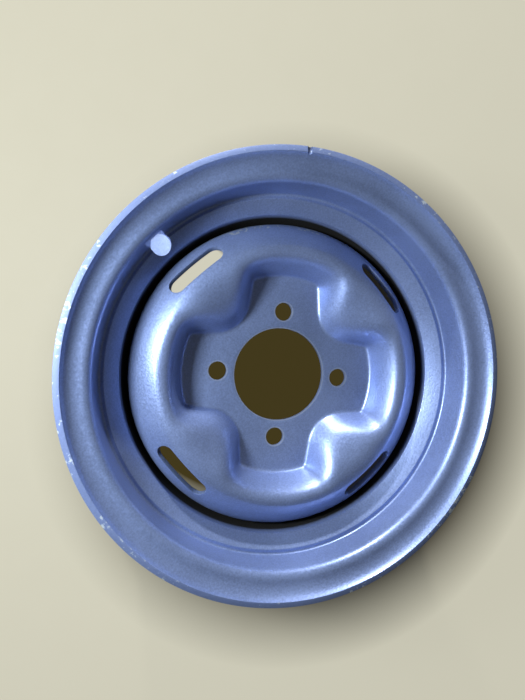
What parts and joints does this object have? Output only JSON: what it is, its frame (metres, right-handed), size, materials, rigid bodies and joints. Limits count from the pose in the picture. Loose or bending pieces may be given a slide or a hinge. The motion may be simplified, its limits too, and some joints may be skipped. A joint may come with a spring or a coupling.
{
  "type": "wheel rim",
  "caption": "Bare pressed-steel car wheel: a drop-centre rim with a welded, vented disc that has flat lobes round the studs and raised bosses between them.",
  "frame": {"origin": "centre of the centre bore on the face that seats on the hub", "axes": "+Z along the wheel's axis towards its outer face; X and Y pass through the bosses and vent slots, the stud holes lie on the diagonals and the valve hole lies close to +Y"},
  "size_m": [0.338, 0.338, 0.1326],
  "materials": {
    "rim_paint": "satin blue-grey paint, finely speckled",
    "disc_paint": "satin blue-grey paint, finely speckled",
    "weld_paint": "satin blue-grey paint over the rippled weld"
  },
  "bodies": {
    "root": {"rim": "rim_paint", "disc": "disc_paint", "weld_run_1": "weld_paint", "weld_run_2": "weld_paint", "weld_run_3": "weld_paint", "weld_run_4": "weld_paint"}
  },
  "joints": []
}
